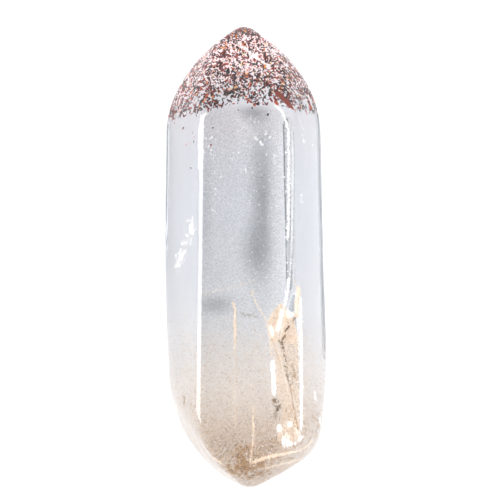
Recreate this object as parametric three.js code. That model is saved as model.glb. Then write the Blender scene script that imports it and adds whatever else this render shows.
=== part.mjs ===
// A tumbled point of lepidocrocite quartz, lying on one prism face: one solid piece of rock crystal.
// Millimetres and degrees. +Y runs along the crystal from its broken root to its tip, +X is across,
// +Z is up, and the crystal rests on z = 0. Its c axis runs at half its thickness, over x = 0.
// The red platelets, veils and specks of the real stone are grown inside this one piece.
import * as THREE from "three";

// Driving dimensions: the crystal is LENGTH long, about 17.5 wide and THICKNESS thick
const LENGTH = 50;
const THICKNESS = 13.3;
const AXIS_HEIGHT = THICKNESS / 2;
const TIP_Y = LENGTH / 2;

// Prism faces, each with its azimuth about the axis, its distance from the axis at mid length,
// and how much nearer it comes per millimetre towards the tip
const PRISM_FACES = [
  { name: "right front", azimuth: 30, distance: 8.15, taper: 0.019 },
  { name: "front", azimuth: 90, distance: AXIS_HEIGHT, taper: 0 },
  { name: "left front", azimuth: 150, distance: 7.45, taper: 0.011 },
  { name: "left back", azimuth: -150, distance: 7.86, taper: 0.011 },
  { name: "resting", azimuth: -90, distance: AXIS_HEIGHT, taper: 0 },
  { name: "right back", azimuth: -30, distance: 7.15, taper: 0.019 },
];

// Each prism edge is worn to a narrow bevel, this deep
const BEVEL_DEPTH = 0.18;
const EDGE_TURN = 360 / PRISM_FACES.length;

// Whatever comes nearer to the ground than this lies on it
const WORN_LEVEL = 0.2;

// The tip has two tiers of six faces. A tier's faces slope down from its apex on the axis.
const TIP_TIERS = [
  { name: "rhombohedral cap", slope: 41.5, apex: TIP_Y + 1.0 },
  { name: "steep shoulder", slope: 67.3, apex: TIP_Y + 8.95 },
];

// The tip's front face reaches further down than its neighbours
const FRONT_TIP_FACE = { slope: 58, apex: TIP_Y + 1.56 };

// Broken and worn facets of the root: azimuth about the axis, slope from the base plane, and a point
const ROOT_FACETS = [
  { name: "long left taper", azimuth: 180, slope: 85.5, at: [-8.05, -15.85, AXIS_HEIGHT] },
  { name: "left chamfer", azimuth: 168, slope: 61, at: [-6.3, -18.8, AXIS_HEIGHT] },
  { name: "lower left break", azimuth: 163, slope: 34, at: [-3.95, -22.95, AXIS_HEIGHT] },
  { name: "lower right break", azimuth: 38, slope: 41, at: [4.5, -24.3, AXIS_HEIGHT] },
  { name: "long right taper", azimuth: 0, slope: 80.5, at: [8.35, -18.8, AXIS_HEIGHT] },
  { name: "right chamfer", azimuth: 12, slope: 46, at: [6.95, -22.3, AXIS_HEIGHT] },
  { name: "front lip", azimuth: 98, slope: 50, at: [0, -22.6, THICKNESS] },
  { name: "right back break", azimuth: -60, slope: 34, at: [0, -22.95, 3.6] },
  { name: "left back break", azimuth: -130, slope: 38, at: [-3, -22.8, 3.6] },
];

// A second, smaller crystal grown in line with the first along its lower right front edge.
// Its front face lies lower than the main one, and its right face comes proud towards the root.
const SIDE_CRYSTAL = {
  frontHeight: THICKNESS - 0.35,
  rightFace: { azimuth: 30, distance: 8.0, taper: 0.045 },
  leftBound: 3,
  lowBound: 2,
  tipSlope: 60,
  tipAzimuth: 25,
  tipAt: [5.9, -2.9, THICKNESS],
};

// The scar where the side crystal meets the main one: a V of two seams, open to the right
const SCAR = {
  floorHeight: THICKNESS - 0.5,
  top: { from: [4.45, -5.4], to: [5.75, -2.7] },
  upperSeam: { from: [4.45, -5.4], to: [3.65, -9.2] },
  lowerSeam: { from: [3.65, -9.2], to: [5.95, -18.4] },
};

// How wide each kind of edge was tumbled round
const ROUND = {
  prismEdge: 0.08,
  sideEdge: 0.5,
  tipRidge: 1.25,
  tier: 1.55,
  shoulder: 0.8,
  break: 1.3,
  root: 1.2,
  seam: 0.25,
};

// Mesh density: columns over each prism face and round each edge, and rows along the crystal
const FACE_COLUMNS = 11;
const EDGE_COLUMNS = 3;
const EDGE_RUN = 0.5;
const TIP_ROWS = 18;
const BODY_ROWS = 26;
const ROOT_ROWS = 14;
const TIP_CENTRE_Y = 14;
const ROOT_CENTRE_Y = -17;

// Marching from outside, where every ray starts clear of the crystal, in towards the surface
const OUTSIDE = 14;
const MARCH_STEPS = 160;
const GRAIN = 1e-4;

const radians = THREE.MathUtils.degToRad;

// The larger of two distances, with the edge between them rounded over a width
function roundMax(a, b, width) {
  const share = Math.max(1 - Math.abs(a - b) / width, 0);
  return Math.max(a, b) + (share * share * width) / 4;
}

const roundMin = (a, b, width) => -roundMax(-a, -b, width);

// Height of a point over a plane whose outward normal has this azimuth about Y and this slope
function overPlane(x, y, z, azimuth, slope, at, towardsTip) {
  const across = Math.cos(radians(azimuth)) * (x - at[0]) + Math.sin(radians(azimuth)) * (z - at[2]);
  return Math.sin(radians(slope)) * across + towardsTip * Math.cos(radians(slope)) * (y - at[1]);
}

// Height over an upright plane through two points of the XY plane, positive on the right of from-to
function rightOf(x, y, { from, to }) {
  const run = Math.hypot(to[0] - from[0], to[1] - from[1]);
  return ((x - from[0]) * (to[1] - from[1]) - (y - from[1]) * (to[0] - from[0])) / run;
}

const roundAll = (heights, width) => heights.reduce((a, b) => roundMax(a, b, width));

const overPrismFace = (x, y, z, face) =>
  overPlane(x, y, z, face.azimuth, 90, [0, 0, AXIS_HEIGHT], 1) - face.distance + face.taper * y;

// Prism faces with their edges bevelled: a bevel faces halfway between its two neighbours
function bevelled(faces, neighbours) {
  const apart = 2 * Math.cos(radians(EDGE_TURN / 2));
  const bevels = neighbours.map(([a, b]) => (faces[a] + faces[b]) / apart + BEVEL_DEPTH);
  return roundAll([...faces, ...bevels], ROUND.prismEdge);
}

function overPrism(x, y, z) {
  const faces = PRISM_FACES.map((face) => overPrismFace(x, y, z, face));
  return bevelled(faces, PRISM_FACES.map((_, i) => [i, (i + 1) % PRISM_FACES.length]));
}

function overTip(x, y, z) {
  const tiers = TIP_TIERS.map(({ slope, apex }) =>
    roundAll(
      PRISM_FACES.map(({ azimuth }) => overPlane(x, y, z, azimuth, slope, [0, apex, AXIS_HEIGHT], 1)),
      ROUND.tipRidge,
    ),
  );
  const { slope, apex } = FRONT_TIP_FACE;
  const front = overPlane(x, y, z, 90, slope, [0, apex, AXIS_HEIGHT], 1);
  return roundMax(roundAll(tiers, ROUND.tier), front, ROUND.shoulder);
}

function overRoot(x, y, z) {
  const facets = ROOT_FACETS.map(({ azimuth, slope, at }) => overPlane(x, y, z, azimuth, slope, at, -1));
  return roundAll(facets, ROUND.break);
}

// Depth inside the scar, positive within the material that is missing
function insideScar(x, y, z) {
  const bounds = [
    SCAR.floorHeight - z,
    rightOf(x, y, SCAR.upperSeam),
    rightOf(x, y, SCAR.lowerSeam),
    -rightOf(x, y, SCAR.top),
  ];
  return -roundAll(bounds, ROUND.seam);
}

function overSideCrystal(x, y, z, root) {
  const rightBack = PRISM_FACES.find(({ name }) => name === "right back");
  const { tipAzimuth, tipSlope, tipAt } = SIDE_CRYSTAL;
  const faces = [
    z - SIDE_CRYSTAL.frontHeight,
    overPrismFace(x, y, z, SIDE_CRYSTAL.rightFace),
    overPrismFace(x, y, z, rightBack),
  ];
  const bounds = [
    bevelled(faces, [[0, 1], [1, 2]]),
    SIDE_CRYSTAL.leftBound - x,
    SIDE_CRYSTAL.lowBound - z,
    overPlane(x, y, z, tipAzimuth, tipSlope, tipAt, 1),
  ];
  return roundMax(roundAll(bounds, ROUND.sideEdge), root, ROUND.root);
}

// Signed distance from the crystal's surface, near enough: negative inside
function overCrystal(x, y, z) {
  const root = overRoot(x, y, z);
  const whole = roundMax(roundMax(overPrism(x, y, z), overTip(x, y, z), ROUND.shoulder), root, ROUND.root);
  const scarred = roundMax(whole, insideScar(x, y, z), ROUND.seam);
  return roundMin(scarred, overSideCrystal(x, y, z, root), ROUND.seam);
}

// Where two neighbouring prism faces would meet in a sharp edge, as [x, height over the axis]
function cornerOf(a, b, y) {
  const [ca, sa] = [Math.cos(radians(a.azimuth)), Math.sin(radians(a.azimuth))];
  const [cb, sb] = [Math.cos(radians(b.azimuth)), Math.sin(radians(b.azimuth))];
  const [reachA, reachB] = [a.distance - a.taper * y, b.distance - b.taper * y];
  const det = ca * sb - sa * cb;
  return new THREE.Vector2((reachA * sb - reachB * sa) / det, (reachB * ca - reachA * cb) / det);
}

// The directions of a row's vertices about the axis: even steps over each face, finer round the edges
function columnAngles(y) {
  const count = PRISM_FACES.length;
  const corners = PRISM_FACES.map((face, i) => cornerOf(face, PRISM_FACES[(i + 1) % count], y));
  return corners.flatMap((corner, i) => {
    const last = corners[(i + count - 1) % count];
    const next = corners[(i + 1) % count];
    const start = last.clone().lerp(corner, EDGE_RUN / last.distanceTo(corner));
    const end = corner.clone().lerp(last, EDGE_RUN / last.distanceTo(corner));
    const resume = corner.clone().lerp(next, EDGE_RUN / next.distanceTo(corner));
    const over = Array.from({ length: FACE_COLUMNS }, (_, k) => start.clone().lerp(end, k / FACE_COLUMNS));
    const round = Array.from({ length: EDGE_COLUMNS }, (_, k) => end.clone().lerp(resume, k / EDGE_COLUMNS));
    return [...over, ...round].map((point) => Math.atan2(point.y, point.x));
  });
}

// Each row's centre on the axis and the tilt of its rays, from the tip to the root
function rowRays() {
  const steps = (count, make) => Array.from({ length: count }, (_, k) => make(k / count));
  return [
    ...steps(TIP_ROWS, (share) => ({ y: TIP_CENTRE_Y, tilt: 90 * (1 - share) })).slice(1),
    ...steps(BODY_ROWS, (share) => ({ y: TIP_CENTRE_Y + (ROOT_CENTRE_Y - TIP_CENTRE_Y) * share, tilt: 0 })),
    ...steps(ROOT_ROWS, (share) => ({ y: ROOT_CENTRE_Y, tilt: -90 * share })),
  ];
}

// The outermost point of the crystal along a ray from its axis, snapped to a fine grain so flats stay
// flat. The resting face is worn level right out to its bevels.
function surfacePoint(centreY, angle, tilt) {
  const across = Math.cos(radians(tilt));
  const direction = [across * Math.cos(angle), Math.sin(radians(tilt)), across * Math.sin(angle)];
  const along = (reach) => [
    direction[0] * reach,
    centreY + direction[1] * reach,
    AXIS_HEIGHT + direction[2] * reach,
  ];
  let reach = OUTSIDE;
  for (let step = 0; step < MARCH_STEPS; step++) reach -= overCrystal(...along(reach));
  const [x, y, z] = along(reach).map((value) => Math.round(value / GRAIN) * GRAIN);
  return [x, y, z < WORN_LEVEL ? 0 : z];
}

function crystalGeometry() {
  const rows = rowRays();
  const points = rows.map(({ y, tilt }) => columnAngles(y).map((angle) => surfacePoint(y, angle, tilt)));
  const columns = points[0].length;
  const tip = surfacePoint(TIP_CENTRE_Y, 0, 90);
  const root = surfacePoint(ROOT_CENTRE_Y, 0, -90);
  const vertices = [...points.flat(), tip, root];
  const [tipIndex, rootIndex] = [vertices.length - 2, vertices.length - 1];
  const faces = [];
  for (let c = 0; c < columns; c++) {
    const next = (c + 1) % columns;
    faces.push(tipIndex, next, c);
    for (let r = 0; r + 1 < rows.length; r++) {
      const [a, b] = [r * columns + c, r * columns + next];
      faces.push(a, b, a + columns, b, b + columns, a + columns);
    }
    const lastRow = (rows.length - 1) * columns;
    faces.push(rootIndex, lastRow + c, lastRow + next);
  }
  const geometry = new THREE.BufferGeometry();
  geometry.setAttribute("position", new THREE.Float32BufferAttribute(vertices.flat(), 3));
  geometry.setIndex(faces);
  geometry.computeVertexNormals();
  return geometry;
}

function quartzMaterial() {
  return new THREE.MeshStandardMaterial({
    color: 0xe2e5ea,
    roughness: 0.05,
    metalness: 0,
    transparent: true,
    opacity: 0.5,
  });
}

function quartzCrystal() {
  const mesh = new THREE.Mesh(crystalGeometry(), quartzMaterial());
  mesh.name = "quartz_crystal";
  return mesh;
}

const part = new THREE.Group();
part.add(quartzCrystal());

export default part;
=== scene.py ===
"""A tumbled point of lepidocrocite quartz, lying on one prism face and seen from above.

The crystal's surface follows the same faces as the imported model, at a finer grain. Inside it lie
the red platelets of the tip, the specks and veils of the cloudy root, and a few cracks and stains.
Lengths are millimetres in the part's own frame until they are written to a mesh, in metres.
"""
import math

import bpy
import numpy as np
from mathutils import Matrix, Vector


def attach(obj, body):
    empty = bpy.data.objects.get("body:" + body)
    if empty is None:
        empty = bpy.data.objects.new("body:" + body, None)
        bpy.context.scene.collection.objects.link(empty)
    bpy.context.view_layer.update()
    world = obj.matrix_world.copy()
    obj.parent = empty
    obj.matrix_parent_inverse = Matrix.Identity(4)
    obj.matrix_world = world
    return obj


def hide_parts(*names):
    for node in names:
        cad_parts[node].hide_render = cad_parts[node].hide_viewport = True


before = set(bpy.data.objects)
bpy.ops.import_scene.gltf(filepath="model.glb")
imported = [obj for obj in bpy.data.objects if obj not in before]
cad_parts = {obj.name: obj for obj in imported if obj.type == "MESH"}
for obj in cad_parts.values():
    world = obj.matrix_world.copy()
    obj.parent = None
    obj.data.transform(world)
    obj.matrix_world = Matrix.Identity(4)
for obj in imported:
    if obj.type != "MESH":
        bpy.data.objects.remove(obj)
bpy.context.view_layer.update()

BODY = "root"
MM = 0.001

# Driving dimensions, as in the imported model
LENGTH = 50.0
THICKNESS = 13.3
AXIS_HEIGHT = THICKNESS / 2
TIP_Y = LENGTH / 2

# Prism faces: azimuth about the axis, distance from it at mid length, taper per millimetre to the tip
PRISM_FACES = {
    "right front": (30, 8.15, 0.019),
    "front": (90, AXIS_HEIGHT, 0.0),
    "left front": (150, 7.45, 0.011),
    "left back": (-150, 7.86, 0.011),
    "resting": (-90, AXIS_HEIGHT, 0.0),
    "right back": (-30, 7.15, 0.019),
}
# Each prism edge is worn to a narrow bevel, this deep
BEVEL_DEPTH = 0.18
EDGE_TURN = 60
# Tip tiers: slope of their faces, and the height of their apex on the axis
TIP_TIERS = [(41.5, TIP_Y + 1.0), (67.3, TIP_Y + 8.95)]
# The tip's front face reaches further down than its neighbours: slope and apex
FRONT_TIP_FACE = (58, TIP_Y + 1.56)
# Root facets: azimuth, slope from the base plane, and a point on each
ROOT_FACETS = [
    (180, 85.5, (-8.05, -15.85, AXIS_HEIGHT)),
    (168, 61.0, (-6.3, -18.8, AXIS_HEIGHT)),
    (163, 34.0, (-3.95, -22.95, AXIS_HEIGHT)),
    (38, 41.0, (4.5, -24.3, AXIS_HEIGHT)),
    (0, 80.5, (8.35, -18.8, AXIS_HEIGHT)),
    (12, 46.0, (6.95, -22.3, AXIS_HEIGHT)),
    (98, 50.0, (0.0, -22.6, THICKNESS)),
    (-60, 34.0, (0.0, -22.95, 3.6)),
    (-130, 38.0, (-3.0, -22.8, 3.6)),
]
SIDE_FRONT_HEIGHT = THICKNESS - 0.35
SIDE_RIGHT_FACE = (30, 8.0, 0.045)
SIDE_LEFT_BOUND = 3.0
SIDE_LOW_BOUND = 2.0
SIDE_TIP = (25, 60.0, (5.9, -2.9, THICKNESS))
SCAR_FLOOR_HEIGHT = THICKNESS - 0.5
SCAR_TOP = ((4.45, -5.4), (5.75, -2.7))
SCAR_UPPER_SEAM = ((4.45, -5.4), (3.65, -9.2))
SCAR_LOWER_SEAM = ((3.65, -9.2), (5.95, -18.4))
# How wide each kind of edge was tumbled round
ROUND_PRISM = 0.08
ROUND_RIDGE = 1.25
ROUND_TIER = 1.55
ROUND_SHOULDER = 0.8
ROUND_SIDE = 0.5
ROUND_BREAK = 1.3
ROUND_ROOT = 1.2
ROUND_SEAM = 0.25

# The view in pixels: its side, the crystal's length, and the place of the crystal's middle
VIEW_SIDE_PX = 500
LENGTH_PX = 458
MIDDLE_PX = (244, 256)
PIXEL = LENGTH / LENGTH_PX
VIEW_CENTRE = ((VIEW_SIDE_PX / 2 - MIDDLE_PX[0]) * PIXEL, (MIDDLE_PX[1] - VIEW_SIDE_PX / 2) * PIXEL)

# The camera looks straight down and frames that view
LENS = 200.0
SENSOR = 36.0
CAMERA_DISTANCE = VIEW_SIDE_PX * PIXEL / (SENSOR / LENS)
NEAR_CLIP = 0.01
FAR_CLIP = 10

# Mesh density of the crystal's surface
FACE_COLUMNS = 46
EDGE_COLUMNS = 14
EDGE_RUN = 0.5
TIP_ROWS = 70
BODY_ROWS = 130
ROOT_ROWS = 60
TIP_CENTRE_Y = 14.0
ROOT_CENTRE_Y = -17.0
# The search for the surface along a ray starts this far out, and stops once it is this close
OUTSIDE = 14.0
MARCH_STEPS = 160
CLOSE_ENOUGH = 1e-5
NORMAL_STEP = 0.02


# Shape of the crystal

def round_max(a, b, width):
    share = np.maximum(1 - np.abs(a - b) / width, 0)
    return np.maximum(a, b) + share * share * width / 4


def round_min(a, b, width):
    return -round_max(-a, -b, width)


def round_all(heights, width):
    made = heights[0]
    for height in heights[1:]:
        made = round_max(made, height, width)
    return made


def over_plane(p, azimuth, slope, at, towards_tip):
    """Height over a plane whose outward normal has this azimuth about Y and this slope."""
    turn, lean = math.radians(azimuth), math.radians(slope)
    across = math.cos(turn) * (p[:, 0] - at[0]) + math.sin(turn) * (p[:, 2] - at[2])
    return math.sin(lean) * across + towards_tip * math.cos(lean) * (p[:, 1] - at[1])


def over_prism_face(p, azimuth, distance, taper):
    return over_plane(p, azimuth, 90, (0, 0, AXIS_HEIGHT), 1) - distance + taper * p[:, 1]


def right_of(p, line):
    """Height over an upright plane through a line of the XY plane, positive on its right."""
    (ax, ay), (bx, by) = line
    run = math.hypot(bx - ax, by - ay)
    return ((p[:, 0] - ax) * (by - ay) - (p[:, 1] - ay) * (bx - ax)) / run


def bevelled(faces, neighbours):
    """Prism faces with their edges bevelled: a bevel faces halfway between its two neighbours."""
    apart = 2 * math.cos(math.radians(EDGE_TURN / 2))
    bevels = [(faces[a] + faces[b]) / apart + BEVEL_DEPTH for a, b in neighbours]
    return round_all(faces + bevels, ROUND_PRISM)


def over_prism(p):
    faces = [over_prism_face(p, *face) for face in PRISM_FACES.values()]
    return bevelled(faces, [(i, (i + 1) % 6) for i in range(6)])


def over_tip(p):
    tiers = []
    for slope, apex in TIP_TIERS:
        faces = [over_plane(p, azimuth, slope, (0, apex, AXIS_HEIGHT), 1)
                 for azimuth, _, _ in PRISM_FACES.values()]
        tiers.append(round_all(faces, ROUND_RIDGE))
    slope, apex = FRONT_TIP_FACE
    front = over_plane(p, 90, slope, (0, apex, AXIS_HEIGHT), 1)
    return round_max(round_all(tiers, ROUND_TIER), front, ROUND_SHOULDER)


def over_root(p):
    return round_all([over_plane(p, *facet, -1) for facet in ROOT_FACETS], ROUND_BREAK)


def inside_scar(p):
    bounds = [SCAR_FLOOR_HEIGHT - p[:, 2], right_of(p, SCAR_UPPER_SEAM),
              right_of(p, SCAR_LOWER_SEAM), -right_of(p, SCAR_TOP)]
    return -round_all(bounds, ROUND_SEAM)


def over_side_crystal(p, root):
    faces = [
        p[:, 2] - SIDE_FRONT_HEIGHT,
        over_prism_face(p, *SIDE_RIGHT_FACE),
        over_prism_face(p, *PRISM_FACES["right back"]),
    ]
    bounds = [
        bevelled(faces, [(0, 1), (1, 2)]),
        SIDE_LEFT_BOUND - p[:, 0],
        SIDE_LOW_BOUND - p[:, 2],
        over_plane(p, *SIDE_TIP, 1),
    ]
    return round_max(round_all(bounds, ROUND_SIDE), root, ROUND_ROOT)


def over_crystal(p):
    """Signed distance from the crystal's surface, near enough: negative inside."""
    root = over_root(p)
    whole = round_max(round_max(over_prism(p), over_tip(p), ROUND_SHOULDER), root, ROUND_ROOT)
    scarred = round_max(whole, inside_scar(p), ROUND_SEAM)
    return round_min(scarred, over_side_crystal(p, root), ROUND_SEAM)


def march_in(starts, directions):
    """The outermost point of the crystal along each ray from inside it."""
    reach = np.full(len(starts), OUTSIDE)
    active = np.arange(len(starts))
    for _ in range(MARCH_STEPS):
        height = over_crystal(starts[active] + directions[active] * reach[active, None])
        reach[active] -= height
        active = active[np.abs(height) > CLOSE_ENOUGH]
        if not len(active):
            break
    return starts + directions * reach[:, None]


def outward(p):
    """Unit normals of the crystal's form at points, by central differences."""
    steps = NORMAL_STEP * np.eye(3)
    slopes = [over_crystal(p + step) - over_crystal(p - step) for step in steps]
    normals = np.stack(slopes, axis=1)
    return normals / np.maximum(np.linalg.norm(normals, axis=1, keepdims=True), 1e-9)


def corner_of(a, b, y):
    """Where two neighbouring prism faces would meet in a sharp edge, as x and height over the axis."""
    rows = [[math.cos(math.radians(azimuth)), math.sin(math.radians(azimuth))] for azimuth, _, _ in (a, b)]
    reaches = [distance - taper * y for _, distance, taper in (a, b)]
    return np.linalg.solve(np.array(rows), np.array(reaches))


def column_angles(y):
    """The directions of a row's vertices about the axis: even steps over each face, finer at the edges."""
    faces = list(PRISM_FACES.values())
    corners = [corner_of(faces[i], faces[(i + 1) % 6], y) for i in range(6)]
    angles = []
    for i, corner in enumerate(corners):
        last, following = corners[i - 1], corners[(i + 1) % 6]
        along = (corner - last) / np.linalg.norm(corner - last)
        onward = (following - corner) / np.linalg.norm(following - corner)
        start = last + along * EDGE_RUN
        end = corner - along * EDGE_RUN
        resume = corner + onward * EDGE_RUN
        over = [start + (end - start) * k / FACE_COLUMNS for k in range(FACE_COLUMNS)]
        rounded = [end + (resume - end) * k / EDGE_COLUMNS for k in range(EDGE_COLUMNS)]
        angles += [math.atan2(z, x) for x, z in over + rounded]
    return np.array(angles)


def row_rays():
    """Each row's centre on the axis and the tilt of its rays, from the tip to the root."""
    tip = [(TIP_CENTRE_Y, 90 * (1 - k / TIP_ROWS)) for k in range(1, TIP_ROWS)]
    run = ROOT_CENTRE_Y - TIP_CENTRE_Y
    body = [(TIP_CENTRE_Y + run * k / BODY_ROWS, 0) for k in range(BODY_ROWS)]
    root = [(ROOT_CENTRE_Y, -90 * k / ROOT_ROWS) for k in range(ROOT_ROWS)]
    return tip + body + root


def rays(centre_y, tilt, angle):
    """Starts on the axis and unit directions for arrays of centres, tilts in degrees and angles."""
    lean = np.radians(tilt)
    sideways = np.cos(lean)
    directions = np.stack([sideways * np.cos(angle), np.sin(lean), sideways * np.sin(angle)], axis=1)
    starts = np.stack([np.zeros_like(lean), centre_y, np.full_like(lean, AXIS_HEIGHT)], axis=1)
    return starts, directions


# Meshes

def make_mesh(name, vertices_mm, faces, smooth=False):
    mesh = bpy.data.meshes.new(name)
    mesh.from_pydata((np.asarray(vertices_mm) * MM).tolist(), [], faces)
    mesh.polygons.foreach_set("use_smooth", [smooth] * len(mesh.polygons))
    mesh.validate()
    mesh.update()
    made = bpy.data.objects.new(name, mesh)
    bpy.context.scene.collection.objects.link(made)
    return made


def crystal_surface():
    """The surface points row by row, tip first and root last, and the faces that join them."""
    rows = row_rays()
    angles = np.concatenate([column_angles(y) for y, _ in rows])
    columns = len(angles) // len(rows)
    centre_y = np.repeat([r[0] for r in rows], columns)
    tilt = np.repeat([r[1] for r in rows], columns).astype(float)
    centre_y = np.append(centre_y, [TIP_CENTRE_Y, ROOT_CENTRE_Y])
    tilt = np.append(tilt, [90, -90])
    points = march_in(*rays(centre_y, tilt, np.append(angles, [0, 0])))
    tip, root = len(points) - 2, len(points) - 1
    last = (len(rows) - 1) * columns
    faces = []
    for c in range(columns):
        following = (c + 1) % columns
        faces.append((tip, following, c))
        for r in range(len(rows) - 1):
            a, b = r * columns + c, r * columns + following
            faces.append((a, b, b + columns, a + columns))
        faces.append((root, last + c, last + following))
    return points, faces


def build_crystal():
    points, faces = crystal_surface()
    return make_mesh("quartz_body", points, faces, smooth=True)


# Scattered grains

RIPPLE_WAVES = 14
RIPPLE_RANGE = 5
# Random points are drawn this many at a time
BATCH = 60000
# Boxes in which grains are drawn: the low and the high corner
TIP_BOX = ((-8.5, 13.5, 0.2), (8.5, 25, 13.2))
MIDDLE_BOX = ((-8, -8, 3), (8, 16.5, 13))
ROOT_BOX = ((-8.6, -25, 0.2), (8.6, -5, 13.2))
# Platelets are six-sided laths: their outline in half lengths and half widths, and how they vary
LATH_OUTLINE = [(1.0, 0.0), (0.6, 1.0), (-0.55, 0.9), (-1.0, 0.1), (-0.6, -0.95), (0.55, -1.0)]
LATH_THICKNESS = 0.03
LATH_TILT = 0.45
LATH_SIZE_SPREAD = 0.4
# Other grains are four-sided
GRAIN_CORNERS = [(1, 1, 1), (1, -1, -1), (-1, 1, -1), (-1, -1, 1)]
GRAIN_FACES = [(0, 1, 2), (0, 3, 1), (0, 2, 3), (1, 3, 2)]
GRAIN_SIZE_SPREAD = 0.35


def ripples(p, size, seed):
    """Smooth noise from -1 to 1 at points, with bumps about this many millimetres apart."""
    rng = np.random.default_rng(seed)
    waves = rng.normal(0, 1, (RIPPLE_WAVES, 3))
    lengths = np.linalg.norm(waves, axis=1, keepdims=True)
    waves *= 2 * math.pi / size / lengths * rng.uniform(0.5, 1.5, (RIPPLE_WAVES, 1))
    phases = rng.uniform(0, 2 * math.pi, RIPPLE_WAVES)
    return np.sin(p @ waves.T + phases).sum(axis=1) / RIPPLE_RANGE


def step_up(value, low, high):
    """0 below low, 1 above high and smooth between them."""
    share = np.clip((value - low) / (high - low), 0, 1)
    return share * share * (3 - 2 * share)


def scatter(rng, count, low, high, density):
    """Random points of a box, kept with the chance that density gives at each, until there are enough."""
    kept, found = [], 0
    while found < count:
        p = rng.uniform(low, high, (BATCH, 3))
        p = p[rng.random(len(p)) < density(p)]
        kept.append(p)
        found += len(p)
    return np.concatenate(kept)[:count]


def unit(vectors):
    return vectors / np.maximum(np.linalg.norm(vectors, axis=1, keepdims=True), 1e-6)


def laths(name, rng, centres, spread, length, width):
    """Six-sided platelets at points, flat along the face above them and mostly pointing down it."""
    count = len(centres)
    normals = outward(centres)
    down = np.array([0.0, -1.0, 0.0])
    fall = unit(down - normals * (normals @ down)[:, None])
    side = np.cross(normals, fall)
    turn = rng.normal(0, spread, count)[:, None]
    along = fall * np.cos(turn) + side * np.sin(turn)
    across = np.cross(normals, along)
    tip_over = rng.normal(0, LATH_TILT, count)[:, None]
    up = normals * np.cos(tip_over) + across * np.sin(tip_over)
    across = np.cross(up, along)
    size = rng.lognormal(0, LATH_SIZE_SPREAD, count)[:, None]
    half_length = size * length / 2
    half_width = np.sqrt(size) * width / 2
    vertices = []
    for level in (-0.5, 0.5):
        for u, v in LATH_OUTLINE:
            u = u * rng.uniform(0.8, 1.2, (count, 1))
            v = v * rng.uniform(0.6, 1.3, (count, 1))
            middle = centres + up * level * LATH_THICKNESS
            vertices.append(middle + along * half_length * u + across * half_width * v)
    vertices = np.stack(vertices, axis=1).reshape(-1, 3)
    sides = [(k, (k + 1) % 6, (k + 1) % 6 + 6, k + 6) for k in range(6)]
    pattern = [(5, 4, 3, 2, 1, 0), (6, 7, 8, 9, 10, 11)] + sides
    return make_mesh(name, vertices, repeat_faces(pattern, 12, count))


def repeat_faces(pattern, stride, count):
    return [tuple(stride * i + k for k in face) for i in range(count) for face in pattern]


def specks(name, rng, centres, size):
    """A four-sided grain at each point, turned at random."""
    count = len(centres)
    corners = np.array(GRAIN_CORNERS) / math.sqrt(3)
    turns = np.linalg.qr(rng.normal(0, 1, (count, 3, 3)))[0]
    turns *= np.sign(np.linalg.det(turns))[:, None, None]
    scale = (rng.lognormal(0, GRAIN_SIZE_SPREAD, count) * size / 2)[:, None, None]
    vertices = centres[:, None, :] + corners[None] @ turns * scale
    return make_mesh(name, vertices.reshape(-1, 3), repeat_faces(GRAIN_FACES, 4, count))


def scattered_along(rng, path, count, spread):
    """Random points scattered about a line through points of space."""
    path = np.array(path, float)
    runs = np.linalg.norm(np.diff(path, axis=0), axis=1)
    reach = np.concatenate([[0], np.cumsum(runs)])
    at = np.sort(rng.uniform(0, reach[-1], count))
    centres = np.stack([np.interp(at, reach, path[:, k]) for k in range(3)], axis=1)
    return centres + rng.normal(0, 1, (count, 3)) * spread


def under_surface(points, depth):
    """The points this far below the surface that the camera sees at places of the mid plane."""
    flat = np.array([(x, y, AXIS_HEIGHT) for x, y in points], float)
    upward = np.tile([0.0, 0.0, 1.0], (len(flat), 1))
    for _ in range(2):
        height = march_in(flat, upward)[:, 2] - depth
        nearer = ((CAMERA_DISTANCE - (height - AXIS_HEIGHT)) / CAMERA_DISTANCE)[:, None]
        flat[:, :2] = VIEW_CENTRE + (np.array(points, float) - VIEW_CENTRE) * nearer
    return np.column_stack([flat[:, :2], height])


# Platelets under the tip

# They end at this height on the axis, and lower toward each side by these shares of the way out
BORDER_Y = 16.15
BORDER_FALL_LEFT = 0.22
BORDER_FALL_RIGHT = 0.13
# They grow dense over this height above the border
BORDER_FADE = 1.4
# How widely their directions spread, in radians
PLATELET_SPREAD = 0.95
STRAY_DEPTH = 0.35
STRAY_PLATELETS = [
    (-6.55, 13.95), (-5.5, 13.45), (-5.3, 13.0), (-5.4, 12.5), (-5.8, 12.3), (-6.2, 12.15), (-5.7, 9.6),
    (-3.6, 12.1), (-3.4, 14.0), (0.9, 16.1), (1.4, 15.5), (2.6, 15.4), (-0.6, 15.9),
]
# Large blades: the two ends, and the width
BLADES = [
    ((3.45, 18.56), (5.35, 15.94), 0.6),
    ((6.99, 17.14), (7.6, 15.77), 0.42),
    ((7.69, 17.0), (7.91, 16.5), 0.2),
    ((6.99, 17.75), (7.53, 17.3), 0.25),
    ((6.88, 15.94), (6.99, 15.4), 0.14),
    ((3.3, 17.1), (3.75, 16.5), 0.3),
    ((3.2, 17.5), (3.6, 17.0), 0.25),
    ((0.3, 17.3), (0.9, 16.7), 0.2),
]
BLADE_DEPTH = 0.25
BLADE_THICKNESS = 0.05


def tip_border(p):
    """Height over the lowest platelets: they end along a line that is lower at the left side."""
    lower = np.where(p[:, 0] < 0, BORDER_FALL_LEFT, BORDER_FALL_RIGHT) * np.abs(p[:, 0])
    return p[:, 1] - BORDER_Y + lower + 0.25 * ripples(p, 1.5, 7)


def in_shell(p, shallow, deep):
    depth = -over_crystal(p)
    return (depth > shallow) & (depth < deep)


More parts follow.
